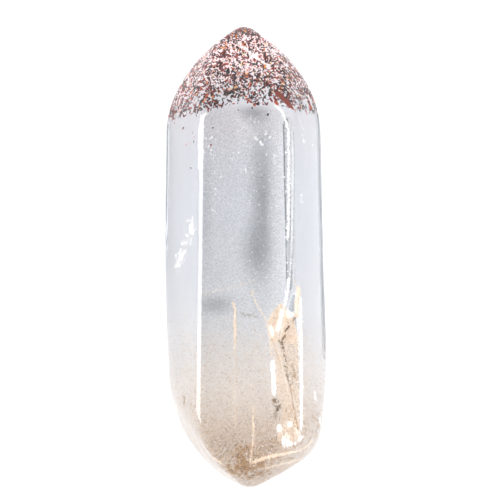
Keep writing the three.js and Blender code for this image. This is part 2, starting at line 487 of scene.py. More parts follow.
def platelets(name, count, length, width, depth, seed, patchy):
    rng = np.random.default_rng(seed)

    def density(p):
        rows = step_up(tip_border(p), -0.3, BORDER_FADE)
        patches = 1 - patchy + patchy * ripples(p, 2.2, seed + 20)
        front = 0.3 + 0.7 * step_up(p[:, 2], 4, 8)
        return in_shell(p, *depth) * rows * patches * front

    centres = scatter(rng, count, *TIP_BOX, density)
    return laths(name, rng, centres, PLATELET_SPREAD, length, width)


def tip_haze(name, count, size, depth, seed):
    """Pale rosy dust just below the platelets, denser near the apex and the sides."""
    rng = np.random.default_rng(seed)

    def density(p):
        rows = step_up(tip_border(p), 0.6, 4.0)
        ends = 0.35 + 0.65 * np.maximum(step_up(p[:, 1], 19, 23), step_up(np.abs(p[:, 0]), 3, 7))
        return in_shell(p, *depth) * rows * ends

    centres = scatter(rng, count, *TIP_BOX, density)
    return specks(name, rng, centres, size)


def stray_platelets():
    rng = np.random.default_rng(3)
    centres = under_surface(STRAY_PLATELETS, STRAY_DEPTH)
    return laths("platelets_stray", rng, centres, spread=1.0, length=0.22, width=0.13)


def blade_vertices(rng, start, end, width):
    """The corners of one blade between its ends, flat under the surface above it."""
    middle = ((start[0] + end[0]) / 2, (start[1] + end[1]) / 2)
    top = under_surface([middle], 0)[0]
    inward = -outward(top[None])[0]
    base = top + inward * BLADE_DEPTH
    along = np.array([end[0] - start[0], end[1] - start[1], 0.0])
    length = np.linalg.norm(along)
    along -= inward * (along @ inward)
    along /= np.linalg.norm(along)
    across = np.cross(inward, along)
    vertices = []
    for level in (0.0, BLADE_THICKNESS):
        for u, v in LATH_OUTLINE:
            u = u * rng.uniform(0.9, 1.05)
            v = v * rng.uniform(0.8, 1.15)
            vertices.append(base + along * u * length / 2 + across * v * width / 2 + inward * level)
    return vertices


def blades():
    """The few big platelets of the right side, each a long lath just under the surface."""
    rng = np.random.default_rng(4)
    vertices = []
    for start, end, width in BLADES:
        vertices += blade_vertices(rng, start, end, width)
    sides = [(k, k + 6, (k + 1) % 6 + 6, (k + 1) % 6) for k in range(6)]
    pattern = [(0, 1, 2, 3, 4, 5), (11, 10, 9, 8, 7, 6)] + sides
    return make_mesh("platelet_blades", vertices, repeat_faces(pattern, 12, len(BLADES)))


# Grains stay at least this far below the surface
LEAST_DEPTH = 0.06

# Streaks and stains: path, depth under the surface, spread, number of grains, grain size, and in how
# many lumps the grains sit, if they do

CREAM_STREAKS = {
    "upright_top": ([(-1.2, -5.1), (-1.0, -5.7), (-1.0, -9.7)], 0.5, 0.08, 900, 0.08),
    "upright_line": ([(-1.0, -9.7), (-1.0, -14.6), (-0.9, -19.0)], 0.6, 0.05, 450, 0.07),
    "hook_line": ([(0.8, -4.1), (1.1, -4.6), (1.3, -5.2), (2.4, -6.9), (2.7, -8.4), (2.9, -9.3),
                   (3.0, -10.9)], 0.4, 0.05, 700, 0.07),
    "low_line": ([(1.0, -16.3), (1.0, -20.1), (0.6, -23.3)], 0.6, 0.06, 700, 0.08),
    "plate_left": ([(4.1, -5.2), (3.6, -5.7), (3.0, -6.5), (2.7, -7.1)], 0.2, 0.05, 300, 0.07),
    "plate_right": ([(4.1, -5.2), (4.4, -5.7), (4.8, -6.1)], 0.15, 0.05, 150, 0.07),
    "side_tip": ([(5.9, -3.4), (5.9, -4.4)], 0.2, 0.11, 420, 0.08),
    "side_rim": ([(5.7, -4.6), (5.6, -6.2)], 0.2, 0.09, 220, 0.08),
    "side_seam": ([(5.4, -2.7), (5.6, -3.1), (5.9, -3.4)], 0.15, 0.03, 90, 0.06),
    "ledge": ([(0.9, -22.5), (2.0, -22.1), (2.9, -21.8), (4.6, -21.4), (6.1, -21.1), (7.4, -20.1)],
              0.4, 0.1, 1500, 0.09),
    "ledge_low": ([(2.0, -23.1), (3.9, -22.6), (6.1, -22.1)], 0.4, 0.09, 700, 0.09),
    "left_ledge": ([(-5.0, -20.3), (-4.3, -21.7), (-3.5, -22.6), (-2.4, -23.4), (-1.3, -24.1)],
                   0.4, 0.12, 1300, 0.09),
    "left_ledge_in": ([(-4.5, -20.4), (-3.5, -21.7), (-2.4, -22.5)], 0.4, 0.08, 500, 0.08),
    "left_blush": ([(-8.25, -7.2), (-8.15, -9.7)], 1.2, 0.14, 260, 0.1),
    "feather_rim": ([(-5.4, 3.1), (-5.9, 2.1), (-6.4, 0.9), (-6.9, 0.0), (-7.4, -1.5)], 0.6, 0.22, 160, 0.08),
    "arc": ([(-4.5, -4.1), (-2.6, -3.7), (-0.4, -3.2), (1.2, -2.7)], 1.6, 0.12, 420, 0.06),
    "bead": ([(0.95, -3.8), (1.05, -4.0)], 0.4, 0.08, 60, 0.07),
}
# White grains: real white feathers, cracks and specks, and painted highlights and reflections along edges,
# the tip's ridge and cracks
WHITE_CRACKS_AND_PAINTED_HIGHLIGHTS = {
    "feather": ([(-5.7, 3.7), (-5.4, 3.1), (-5.9, 2.1), (-6.4, 0.9), (-6.9, 0.0), (-7.2, -0.9), (-7.4, -1.5)],
                0.5, 0.38, 1500, 0.08, 80),
    "feather_top": ([(-5.9, 3.7), (-5.6, 3.0), (-5.7, 2.4)], 0.5, 0.3, 520, 0.08, 26),
    "feather_low": ([(-6.6, 0.9), (-6.8, -0.4), (-7.2, -1.6)], 0.6, 0.42, 520, 0.07, 34),
    # Painted highlights: white lines along the front face's right and left edges
    "painted_right_edge_highlight": ([(3.4, 16.5), (4.15, 15.8), (4.5, 14.9), (4.8, 13.9), (4.86, 10.9), (4.88, 6.1),
                   (4.86, 3.4), (4.8, 1.8)], 0.12, 0.08, 2600, 0.08),
    "painted_edge_reflection": ([(5.24, 13.8), (5.33, 10.5), (5.3, 6.1), (5.13, 0.7), (4.97, -2.1)],
                  0.08, 0.03, 1100, 0.06),
    "painted_edge_highlight_low": ([(4.9, -2.4), (4.64, -4.5), (4.48, -5.5)], 0.1, 0.1, 1000, 0.08),
    "painted_left_edge_highlight": ([(-4.15, 15.6), (-4.6, 14.9), (-4.86, 13.8), (-4.9, 11.6), (-4.86, 9.4)],
                      0.1, 0.1, 1700, 0.08),
    # Painted reflections: white plates, stripes and spots where cracks of the joint catch the light
    "painted_crack_reflection": ([(3.1, -11.5), (3.2, -13.3), (3.3, -15.1)], 0.3, 0.1, 2000, 0.08),
    "painted_plate_reflection": ([(4.2, -5.8), (4.0, -6.9), (3.6, -8.1)], 0.2, 0.11, 1500, 0.08),
    "painted_plate_reflection_patch": ([(4.7, -6.1), (4.9, -6.6), (5.3, -6.3)], 0.2, 0.14, 700, 0.08),
    "painted_joint_glow": ([(2.9, -7.6), (3.1, -8.8)], 0.2, 0.12, 500, 0.08),
    "painted_glint_a": ([(3.8, -18.6), (3.9, -19.1)], 0.4, 0.13, 420, 0.09),
    "painted_glint_b": ([(4.85, -18.4), (5.0, -18.4)], 0.4, 0.15, 350, 0.09),
    "painted_glint_c": ([(4.1, -20.2), (5.0, -20.1)], 0.4, 0.3, 1000, 0.09, 30),
    "painted_glint_d": ([(5.8, -19.4), (6.0, -19.9)], 0.4, 0.2, 450, 0.09, 14),
    # Painted highlights: the white line down the side crystal's edge, and glints at the right
    "painted_side_crystal_highlight": ([(6.15, -4.6), (6.2, -8.7), (6.25, -14.2), (6.2, -19.0)], 0.2, 0.09, 2600, 0.08),
    "painted_glint_right": ([(8.15, -17.7), (8.25, -18.4)], 0.5, 0.09, 260, 0.08),
    "painted_glint_right_high": ([(7.6, -14.8), (7.7, -15.7)], 0.5, 0.09, 160, 0.08),
    "panel_streak": ([(-0.9, 15.3), (0.2, 14.0), (1.4, 12.7)], 0.8, 0.16, 260, 0.05),
    "panel_streak_end": ([(1.1, 13.0), (1.45, 12.65)], 0.7, 0.07, 160, 0.06),
    "panel_spot": ([(1.75, 12.4), (2.0, 12.1)], 0.5, 0.07, 140, 0.06),
    "panel_hook": ([(0.6, 15.2), (0.8, 15.0), (0.5, 14.7)], 0.4, 0.02, 70, 0.05),
    "panel_crack": ([(3.2, 11.2), (3.3, 10.5), (3.7, 9.8), (4.2, 9.6)], 0.4, 0.03, 170, 0.05),
    # Painted glints: a dotted white line along the right edge
    "painted_edge_glints": ([(5.3, 15.1), (5.38, 11.6), (5.3, 3.9), (5.15, -0.7), (4.9, -3.9)], 0.15, 0.025, 330, 0.06),
    "right_specks_a": ([(5.9, 15.1), (6.3, 14.0)], 0.3, 0.12, 60, 0.07),
    "right_specks_b": ([(6.35, 12.9), (6.45, 12.3)], 0.3, 0.08, 50, 0.07),
    "right_specks_c": ([(6.1, 6.7), (6.2, 5.7)], 0.3, 0.07, 50, 0.07),
    # Painted highlight: the white streak along the tip's ridge
    "painted_crest_highlight": ([(-0.7, 23.3), (0.2, 22.5), (1.1, 21.8), (2.0, 21.2), (2.8, 20.6)], 0.1, 0.09, 900, 0.08),
    "painted_crest_highlight_side": ([(2.5, 23.2), (3.2, 21.6)], 0.1, 0.08, 220, 0.07),
}
DIRT_STREAKS = {
    "joint_dots": ([(5.6, -6.7), (5.3, -7.1)], 0.15, 0.05, 45, 0.09),
    "joint_dash": ([(5.0, -7.6), (4.5, -8.2)], 0.15, 0.06, 150, 0.09),
    "joint_low_dots": ([(4.5, -8.6), (4.1, -9.3)], 0.15, 0.06, 90, 0.09),
    "joint_knot": ([(3.8, -9.3), (4.1, -9.5)], 0.15, 0.08, 80, 0.09),
    "seam": ([(4.1, -9.4), (4.4, -10.8), (4.5, -11.8), (4.6, -12.4), (4.8, -13.6), (5.0, -14.2)],
             0.15, 0.08, 620, 0.09, 46),
    "wedge": ([(3.2, -15.7), (3.6, -16.2), (4.0, -16.9)], 0.3, 0.14, 420, 0.08, 22),
    "wedge_tail": ([(3.5, -16.8), (3.4, -17.7)], 0.4, 0.12, 90, 0.08),
    "specks_high": ([(-0.5, -6.3), (1.6, -6.6)], 0.6, 0.12, 60, 0.08),
}
SHADE_STREAKS = {
    "edge_dark": ([(5.37, 13.8), (5.49, 10.5), (5.47, 6.1), (5.35, 0.7), (5.19, -2.6), (4.91, -4.5)],
                  0.08, 0.03, 900, 0.06),
    "edge_grey": ([(5.06, 13.8), (5.11, 6.1), (4.97, 1.2)], 0.08, 0.035, 420, 0.06),
    "left_line": ([(-5.24, 13.8), (-5.13, 6.1), (-4.9, -0.4), (-4.95, -7.0), (-4.85, -12.0)],
                  0.08, 0.025, 520, 0.06),
}
TAN_STREAKS = {
    "crust": ([(-1.9, -23.3), (-0.6, -23.7), (1.6, -23.8), (3.4, -23.2)], 0.25, 0.5, 2600, 0.11, 130),
    "crust_left": ([(-4.6, -20.9), (-3.2, -22.4), (-1.9, -23.3)], 0.3, 0.3, 700, 0.1, 60),
    "low_stain": ([(-0.4, -20.9), (-0.1, -22.9), (0.3, -23.3)], 0.4, 0.35, 900, 0.1, 40),
    "ledge_stain": ([(1.2, -22.8), (3.4, -22.3), (5.4, -21.9)], 0.35, 0.25, 600, 0.1, 40),
    "seam_low": ([(5.0, -14.2), (5.2, -15.3), (5.3, -16.3), (5.5, -17.0), (5.7, -18.2), (5.9, -19.0)],
                 0.15, 0.06, 420, 0.08),
    "second_seam": ([(5.2, -11.7), (5.4, -12.4), (5.6, -13.4)], 0.15, 0.06, 110, 0.08),
    "left_streak": ([(-6.2, -13.9), (-6.2, -15.7), (-6.1, -17.9), (-6.0, -20.1)], 0.8, 0.11, 420, 0.09),
    "left_streak_head": ([(-6.3, -15.2), (-6.3, -16.2)], 0.8, 0.12, 120, 0.09),
    "upright_edge": ([(-0.85, -5.5), (-0.85, -14.0)], 0.45, 0.04, 90, 0.07),
}


def streaks(name, table, seed):
    rng = np.random.default_rng(seed)
    centres, sizes = [], []
    for path, depth, spread, count, size, *lumps in table.values():
        found = scattered_along(rng, under_surface(path, depth), lumps[0] if lumps else count, spread)
        if lumps:
            found = found[rng.integers(lumps[0], size=count)] + rng.normal(0, 1, (count, 3)) * size
        found = found[over_crystal(found) < -LEAST_DEPTH]
        centres.append(found)
        sizes.append(np.full(len(found), size))
    return specks(name, rng, np.concatenate(centres), np.concatenate(sizes))


# Skins of tan flecks on the joint of the two crystals: the left and the right border of each, from
# its top down. Each is drawn from this many random places of the frame around all three.
SKIN_TRIES = 30000
SKIN_LEFT = 2.5
SKIN_RIGHT = 6.2
SKIN_DEPTH = 0.12
SKIN_THICKNESS = 0.45
SKIN_SHARE = 0.8
JOINT_SKINS = {
    "rim": ([(5.75, -3.4), (5.6, -6.2), (5.4, -6.8)], [(6.05, -3.4), (5.95, -4.6), (5.9, -6.8)]),
    "plate": ([(4.05, -5.2), (3.6, -5.7), (3.0, -6.5), (2.7, -7.1), (2.75, -8.4), (2.95, -9.4)],
              [(4.1, -5.2), (4.4, -5.7), (4.8, -6.1), (5.5, -7.0), (5.9, -9.4)]),
    "lower": ([(2.95, -9.4), (3.5, -11.4), (3.6, -15.2), (4.2, -16.9), (3.9, -18.5), (3.6, -20.2)],
              [(5.9, -9.4), (5.95, -19.2), (6.0, -20.2)]),
}


def joint_skin():
    rng = np.random.default_rng(16)
    places = []
    for left, right in JOINT_SKINS.values():
        (left_x, left_y), (right_x, right_y) = np.array(left).T, np.array(right).T
        y = rng.uniform(left_y[-1], left_y[0], SKIN_TRIES)
        x = rng.uniform(SKIN_LEFT, SKIN_RIGHT, SKIN_TRIES)
        inside = (x > np.interp(-y, -left_y, left_x)) & (x < np.interp(-y, -right_y, right_x))
        places.append(np.column_stack([x, y])[inside])
    centres = under_surface(np.concatenate(places), SKIN_DEPTH)
    centres[:, 2] -= rng.uniform(0, SKIN_THICKNESS, len(centres))
    patches = 0.72 + 0.28 * ripples(centres, 1.3, 51)
    centres = centres[rng.random(len(centres)) < SKIN_SHARE * patches]
    return specks("joint_skin", rng, centres[over_crystal(centres) < -LEAST_DEPTH], 0.085)


# White flecks under the front face that stand out one by one, each made of a few grains
FLECKS = [
    (1.75, 12.4), (2.0, 12.1), (2.5, 13.55), (2.3, 13.3), (2.85, 13.0), (2.45, 11.1), (3.4, 11.0), (2.4, 9.2),
    (2.1, 7.6), (1.2, 14.6), (3.2, 3.4), (1.6, 3.7), (2.9, 1.2), (2.45, -2.4), (1.3, -1.9), (-3.2, 10.2),
    (-4.2, 12.9), (-3.9, 11.9), (-3.5, 11.1), (-2.6, 8.6), (-4.6, 8.3), (6.2, 14.0), (6.45, 12.6),
    (6.3, 13.2), (7.3, 12.1), (6.1, 6.6), (6.2, 5.9), (0.2, 9.2), (-0.6, 11.3),
]
FLECK_GRAINS = 5
FLECK_SPREAD = 0.07
FLECK_DEPTH = 0.3
FLECK_DEPTH_RANGE = 0.5
FLECK_LEAST_DEPTH = 0.08
# Flecks that lie about at random: beside the smoky band, and at the left
LOOSE_FLECKS = 330
LEFT_FLECKS = 90
# The dust of the middle: how deep it starts, its lowest and highest places, and half the front face's width
DUST_DEPTH = 0.3
DUST_BOTTOM_Z = 8.5
DUST_TOP_Y = 16
DUST_HALF_WIDTH = 5


def panel_dust():
    """Fine white dust that hangs in the clear middle."""
    rng = np.random.default_rng(21)

    def density(p):
        inside = (over_crystal(p) < -DUST_DEPTH) & (p[:, 2] > DUST_BOTTOM_Z) & (p[:, 1] < DUST_TOP_Y)
        patches = 0.5 + 0.5 * ripples(p, 2.0, 41)
        return inside * patches * (0.35 + 0.65 * (np.abs(p[:, 0]) < DUST_HALF_WIDTH))

    centres = scatter(rng, 2600, *MIDDLE_BOX, density)
    return specks("panel_dust", rng, centres, 0.05)


def panel_flecks():
    rng = np.random.default_rng(24)
    named = np.repeat(np.array(FLECKS), FLECK_GRAINS, axis=0)
    named = named + rng.normal(0, FLECK_SPREAD, named.shape)
    loose = np.column_stack([rng.normal(2.0, 1.5, LOOSE_FLECKS), rng.uniform(-4, 15.5, LOOSE_FLECKS)])
    loose = loose[np.abs(loose[:, 0] - 1) < 4]
    left = np.column_stack([rng.normal(-3.3, 0.8, LEFT_FLECKS), rng.uniform(4, 14, LEFT_FLECKS)])
    centres = under_surface(np.concatenate([named, loose, left]), FLECK_DEPTH)
    centres[:, 2] -= rng.uniform(0, FLECK_DEPTH_RANGE, len(centres))
    return specks("panel_flecks", rng, centres[over_crystal(centres) < -FLECK_LEAST_DEPTH], 0.15)


# Materials

# Clear quartz: what it absorbs per metre, and the tints where light crosses its sides and its front; the
# front's tints hold painted light and shade
QUARTZ_IOR = 1.544
QUARTZ_COLOUR = (0.86, 0.9, 0.94, 1)
QUARTZ_DENSITY = 24
SIDE_TINT = (0.96, 0.97, 0.99, 1)
PALE = (0.98, 0.985, 0.99, 1)
# Painted shade: the grey that darkens zones of the front face
PAINTED_SHADE = (0.2, 0.205, 0.215, 1)
# Painted light: the warm white that lightens zones of the front face
PAINTED_LIGHT = (1.0, 0.97, 0.96, 1)
ROOT_TINT = (0.95, 0.95, 0.95, 1)
# Between these heights, and these places along Y, one tint passes into the next
FRONT_FACE_Z = (12.9, 13.25)
ROOT_TINT_Y = (-12, -5)
# Zones of painted light and shade on the front face: centre, radii, strength, the share of the radii at full
# strength, and colour
FRONT_PAINTED_LIGHT_AND_SHADE = [
    # Painted light: lighter patches high on the front face and above the root
    ((-1.7, 13.2), (4.2, 3.2), 0.9, 0.2, PAINTED_LIGHT),
    ((0.6, 13.0), (1.3, 1.0), 0.8, 0.1, PAINTED_LIGHT),
    ((-2.0, -0.4), (3.2, 5.0), 0.6, 0.1, PAINTED_LIGHT),
    # Painted shade: the dark upright band and its dark top, the dark patch under the arc, and a faint dark
    # strip at the left
    ((2.0, 6.0), (2.3, 15), 0.85, 0, PAINTED_SHADE),
    ((1.3, 0.6), (2.6, 5.0), 0.75, 0, PAINTED_SHADE),
    ((1.0, 15.9), (2.4, 2.4), 0.8, 0.1, PAINTED_SHADE),
    ((-2.9, -5.2), (2.9, 1.6), 0.55, 0.1, PAINTED_SHADE),
    ((-4.2, 5.6), (1.4, 9), 0.25, 0, PAINTED_SHADE),
    # Painted light: a lighter strip along the right of the front face
    ((3.6, 6.0), (1.3, 16), 0.5, 0, PAINTED_LIGHT),
]
MOTTLE = [(0.35, (0.66, 0.66, 0.66)), (0.62, (1.0, 1.0, 1.0))]
# Noises: lump size, detail and roughness
MOTTLE_NOISE = (0.17, 2, 0.6)
WEAR_NOISE = (2.5, 4, 0.6)
WAVE_NOISE = (3.0, 1, 0.5)
PIT_NOISE = (0.25, 3, 0.6)
# Polish: from where to where in the noise the roughness goes up, and the strength and height of each bump
WEAR_RANGE = (0.35, 0.75)
WEAR_ROUGHNESS = (0.01, 0.05)
WAVE_BUMP = (0.25, 0.02)
PIT_BUMP = (0.2, 0.002)
# The crystal's shadow is faint, and deeper where it comes near the ground
CONTACT_Z = (0.4, 2.4)
CONTACT_SHADE = (0.18, 0.18, 0.18, 1)
CRYSTAL_SHADE = (0.9, 0.9, 0.9, 1)
# Root flecks turn from pale to brown between these places along Y
CLOUD_PALE = [(0, (0.6, 0.52, 0.45)), (0.5, (0.81, 0.75, 0.69)), (1, (0.92, 0.885, 0.85))]
CLOUD_BROWN = [(0, (0.3, 0.19, 0.1)), (0.4, (0.58, 0.43, 0.29)), (1, (0.82, 0.7, 0.56))]
CLOUD_BROWN_Y = (-14, -24)
CLOUD_ROUGHNESS = 0.8
CLOUD_TRANSLUCENCE = 0.5
# Grains: the colours they take, as stops of a ramp, their roughness, and the light that they let through
GRAINS = {
    "lepidocrocite": ([(0.0, (0.004, 0.004, 0.006)), (0.38, (0.012, 0.003, 0.004)),
                       (0.55, (0.1, 0.008, 0.006)), (0.78, (0.3, 0.025, 0.012)), (0.92, (0.55, 0.08, 0.02)),
                       (0.97, (0.9, 0.35, 0.05)), (1.0, (1.0, 0.8, 0.4))], 0.35, 0.14),
    "blade_red": ([(0, (0.16, 0.012, 0.006)), (0.5, (0.34, 0.04, 0.015)), (1, (0.6, 0.12, 0.04))], 0.3, 0.35),
    "cream_grains": ([(0, (0.82, 0.68, 0.52)), (0.5, (0.93, 0.86, 0.77)), (1, (0.98, 0.95, 0.91))], 0.7, 0.5),
    # White grains serve real white dust, flecks and feathers, and painted highlights
    "white_dust_and_painted_highlights": ([(0, (0.97, 0.96, 0.95)), (1, (1, 1, 1))], 0.7, 0.5),
    "dirt_grains": ([(0, (0.1, 0.065, 0.035)), (0.5, (0.3, 0.2, 0.11)), (1, (0.58, 0.44, 0.28))], 0.8, 0.3),
    "shade_grains": ([(0, (0.07, 0.08, 0.1)), (0.7, (0.25, 0.27, 0.3)), (1, (0.4, 0.42, 0.45))], 0.6, 0.3),
    "tan_grains": ([(0, (0.2, 0.11, 0.04)), (0.5, (0.5, 0.32, 0.15)), (1, (0.8, 0.64, 0.44))], 0.8, 0.4),
    "skin_grains": ([(0, (0.45, 0.34, 0.22)), (0.12, (0.76, 0.66, 0.55)), (0.6, (0.87, 0.8, 0.73)),
                     (1, (0.93, 0.89, 0.84))], 0.8, 0.4),
    "rosy_dust": ([(0, (0.6, 0.3, 0.27)), (0.2, (0.93, 0.8, 0.8)), (0.6, (1, 0.95, 0.95)), (1, (1, 1, 1))],
                  0.7, 0.5),
}


def new_material(name):
    made = bpy.data.materials.new(name)
    made.use_nodes = True
    made.node_tree.nodes.clear()
    return made, made.node_tree.nodes, made.node_tree.links


def colour_ramp(nodes, stops):
    made = nodes.new("ShaderNodeValToRGB")
    while len(made.color_ramp.elements) < len(stops):
        made.color_ramp.elements.new(0.5)
    for element, (place, colour) in zip(made.color_ramp.elements, stops):
        element.position = place
        element.color = (*colour, 1)
    return made


def map_range(nodes, links, value, low, high, to_low=0.0, to_high=1.0):
    made = nodes.new("ShaderNodeMapRange")
    made.interpolation_type = "SMOOTHSTEP"
    made.inputs["From Min"].default_value = low
    made.inputs["From Max"].default_value = high
    made.inputs["To Min"].default_value = to_low
    made.inputs["To Max"].default_value = to_high
    links.new(value, made.inputs["Value"])
    return made.outputs["Result"]


def position(nodes, links):
    """X, Y and Z of the shaded point, in metres."""
    geometry = nodes.new("ShaderNodeNewGeometry")
    split = nodes.new("ShaderNodeSeparateXYZ")
    links.new(geometry.outputs["Position"], split.inputs["Vector"])
    return split.outputs["X"], split.outputs["Y"], split.outputs["Z"]


def mixed_colour(nodes, links, factor, a, b, blend="MIX"):
    made = nodes.new("ShaderNodeMix")
    made.data_type = "RGBA"
    made.blend_type = blend
    for socket, value in ((made.inputs[0], factor), (made.inputs[6], a), (made.inputs[7], b)):
        if isinstance(value, bpy.types.NodeSocket):
            links.new(value, socket)
        else:
            socket.default_value = value
    return made.outputs[2]


def soft_spot(nodes, links, centre, radii, strength, core=0.0):
    """A smooth blob over X and Y, in millimetres: strength in its core, a share of its radii, 0 past them."""
    x, y, _ = position(nodes, links)
    offset = nodes.new("ShaderNodeCombineXYZ")
    for value, middle, radius, socket in zip((x, y), centre, radii, ("X", "Y")):
        scaled = nodes.new("ShaderNodeMath")
        scaled.operation = "MULTIPLY_ADD"
        scaled.inputs[1].default_value = 1 / (radius * MM)
        scaled.inputs[2].default_value = -middle / radius
        links.new(value, scaled.inputs[0])
        links.new(scaled.outputs["Value"], offset.inputs[socket])
    length = nodes.new("ShaderNodeVectorMath")
    length.operation = "LENGTH"
    links.new(offset.outputs["Vector"], length.inputs[0])
    return map_range(nodes, links, length.outputs["Value"], 1, core, 0, strength)


def grain_noise(nodes, links, size, detail, roughness):
    """Noise from 0 to 1 in the part's own frame, with lumps about this many millimetres across."""
    place = nodes.new("ShaderNodeTexCoord")
    made = nodes.new("ShaderNodeTexNoise")
    made.inputs["Scale"].default_value = 1 / (size * MM)
    made.inputs["Detail"].default_value = detail
    made.inputs["Roughness"].default_value = roughness
    links.new(place.outputs["Object"], made.inputs["Vector"])
    return made.outputs["Fac"]


def bump(nodes, links, height, strength, distance, under=None):
    """The normal of a surface raised by up to this distance, over another bump where one is given."""
    made = nodes.new("ShaderNodeBump")
    made.inputs["Strength"].default_value = strength
    made.inputs["Distance"].default_value = distance * MM
    links.new(height, made.inputs["Height"])
    if under:
        links.new(under, made.inputs["Normal"])
    return made.outputs["Normal"]


def polish(nodes, links):
    """The faint waves and fine pits that tumbling leaves on a polished face."""
    waves = bump(nodes, links, grain_noise(nodes, links, *WAVE_NOISE), *WAVE_BUMP)
    return bump(nodes, links, grain_noise(nodes, links, *PIT_NOISE), *PIT_BUMP, under=waves)


def front_painted_shading(nodes, links, y):
    """The front face: zones of painted light and shade and a fine mottle over the clear part, and a plain
    tint over the root.
    """
    tint = PALE
    for centre, radii, strength, core, colour in FRONT_PAINTED_LIGHT_AND_SHADE:
        spot = soft_spot(nodes, links, centre, radii, strength, core)
        tint = mixed_colour(nodes, links, spot, tint, colour)
    mottle = colour_ramp(nodes, MOTTLE)
    links.new(grain_noise(nodes, links, *MOTTLE_NOISE), mottle.inputs["Fac"])
    tint = mixed_colour(nodes, links, 1.0, tint, mottle.outputs["Color"], "MULTIPLY")
    high = map_range(nodes, links, y, *(edge * MM for edge in ROOT_TINT_Y))
    return mixed_colour(nodes, links, high, ROOT_TINT, tint)


def quartz_surface(nodes, links):
    """Clear polished quartz: plain transmission, tinted by zone where light crosses the front face, with
    painted light and shade there.
    """
    glass = nodes.new("ShaderNodeBsdfPrincipled")
    glass.inputs["IOR"].default_value = QUARTZ_IOR
    glass.inputs["Transmission Weight"].default_value = 1
    _, y, z = position(nodes, links)
    # The front face alone gets the painted light and shade
    front = map_range(nodes, links, z, *(edge * MM for edge in FRONT_FACE_Z))
    tint = mixed_colour(nodes, links, front, SIDE_TINT, front_painted_shading(nodes, links, y))
    links.new(tint, glass.inputs["Base Color"])
    wear = map_range(nodes, links, grain_noise(nodes, links, *WEAR_NOISE), *WEAR_RANGE, *WEAR_ROUGHNESS)
    links.new(wear, glass.inputs["Roughness"])
    links.new(polish(nodes, links), glass.inputs["Normal"])
    return glass.outputs["BSDF"]


def shadow_light(nodes, links):
    """What lamp light keeps through the crystal: little near the ground, for a soft contact shadow."""
    through = nodes.new("ShaderNodeBsdfTransparent")
    _, _, z = position(nodes, links)
    above_rest = map_range(nodes, links, z, *(edge * MM for edge in CONTACT_Z))
    links.new(mixed_colour(nodes, links, above_rest, CONTACT_SHADE, CRYSTAL_SHADE), through.inputs["Color"])
    return through.outputs["BSDF"]


def absorption(nodes):
    inside = nodes.new("ShaderNodeVolumeAbsorption")
    inside.inputs["Color"].default_value = QUARTZ_COLOUR
    inside.inputs["Density"].default_value = QUARTZ_DENSITY
    return inside.outputs["Volume"]


def quartz_material():
    made, nodes, links = new_material("clear_quartz")
    out = nodes.new("ShaderNodeOutputMaterial")
    light = nodes.new("ShaderNodeLightPath")
    mix = nodes.new("ShaderNodeMixShader")
    links.new(light.outputs["Is Shadow Ray"], mix.inputs["Fac"])
    links.new(quartz_surface(nodes, links), mix.inputs[1])
    links.new(shadow_light(nodes, links), mix.inputs[2])
    links.new(mix.outputs["Shader"], out.inputs["Surface"])
    links.new(absorption(nodes), out.inputs["Volume"])
    return made


def own_colour(nodes, links, stops):
    """A colour for each grain of its own."""
    geometry = nodes.new("ShaderNodeNewGeometry")
    ramp = colour_ramp(nodes, stops)
    links.new(geometry.outputs["Random Per Island"], ramp.inputs["Fac"])
    return ramp.outputs["Color"]


def grain_surface(nodes, links, colour, roughness, translucence):
    """An opaque surface that lets some light through."""
    out = nodes.new("ShaderNodeOutputMaterial")
    shader = nodes.new("ShaderNodeBsdfPrincipled")
    shader.inputs["Roughness"].default_value = roughness
    glow = nodes.new("ShaderNodeBsdfTranslucent")
    links.new(colour, shader.inputs["Base Color"])
    links.new(colour, glow.inputs["Color"])
    mix = nodes.new("ShaderNodeMixShader")
    mix.inputs["Fac"].default_value = translucence
    links.new(shader.outputs["BSDF"], mix.inputs[1])
    links.new(glow.outputs["BSDF"], mix.inputs[2])
    links.new(mix.outputs["Shader"], out.inputs["Surface"])


def grain_material(name, stops, roughness, translucence):
    made, nodes, links = new_material(name)
    grain_surface(nodes, links, own_colour(nodes, links, stops), roughness, translucence)
    return made


def cloud_material():
    """Pale flecks high in the root, browner ones lower down."""
    made, nodes, links = new_material("root_cloud")
    _, y, _ = position(nodes, links)
    low = map_range(nodes, links, y, *(edge * MM for edge in CLOUD_BROWN_Y))
    pale = own_colour(nodes, links, CLOUD_PALE)
    brown = own_colour(nodes, links, CLOUD_BROWN)
    colour = mixed_colour(nodes, links, low, pale, brown)
    grain_surface(nodes, links, colour, CLOUD_ROUGHNESS, CLOUD_TRANSLUCENCE)
    return made


# The cloudy root

# The flecks start at this place along Y, lower at the left, and far lower at the clear right side
CLOUD_START_Y = -6.5
CLOUD_DROP_LEFT = 2.5
CLOUD_DROP_RIGHT = 12
# They thicken over this length
CLOUD_RUN = 13
CLOUD_DEPTH = 0.2


def root_cloud(name, count, size, seed):
    """Fine pale flecks that thicken toward the broken end, and stay clear of the right side."""
    rng = np.random.default_rng(seed)

    def density(p):
        left = step_up(-p[:, 0], 3.5, 6.5)
        right = step_up(p[:, 0], 5.6, 6.6)
        start = CLOUD_START_Y - CLOUD_DROP_LEFT * left - CLOUD_DROP_RIGHT * right
        rows = step_up(start - p[:, 1] + 1.2 * ripples(p, 3.0, 31), -0.5, CLOUD_RUN) ** 0.7
        patches = 0.75 + 0.25 * ripples(p, 1.6, 32)
        return (over_crystal(p) < -CLOUD_DEPTH) * rows * patches

    centres = scatter(rng, count, *ROOT_BOX, density)
    return specks(name, rng, centres, size)


# Stage

FLOOR_COLOUR = (0.9, 0.9, 0.9, 1)
FLOOR_HALF_WIDTH = 600.0
FLOOR_DROP = 0.02
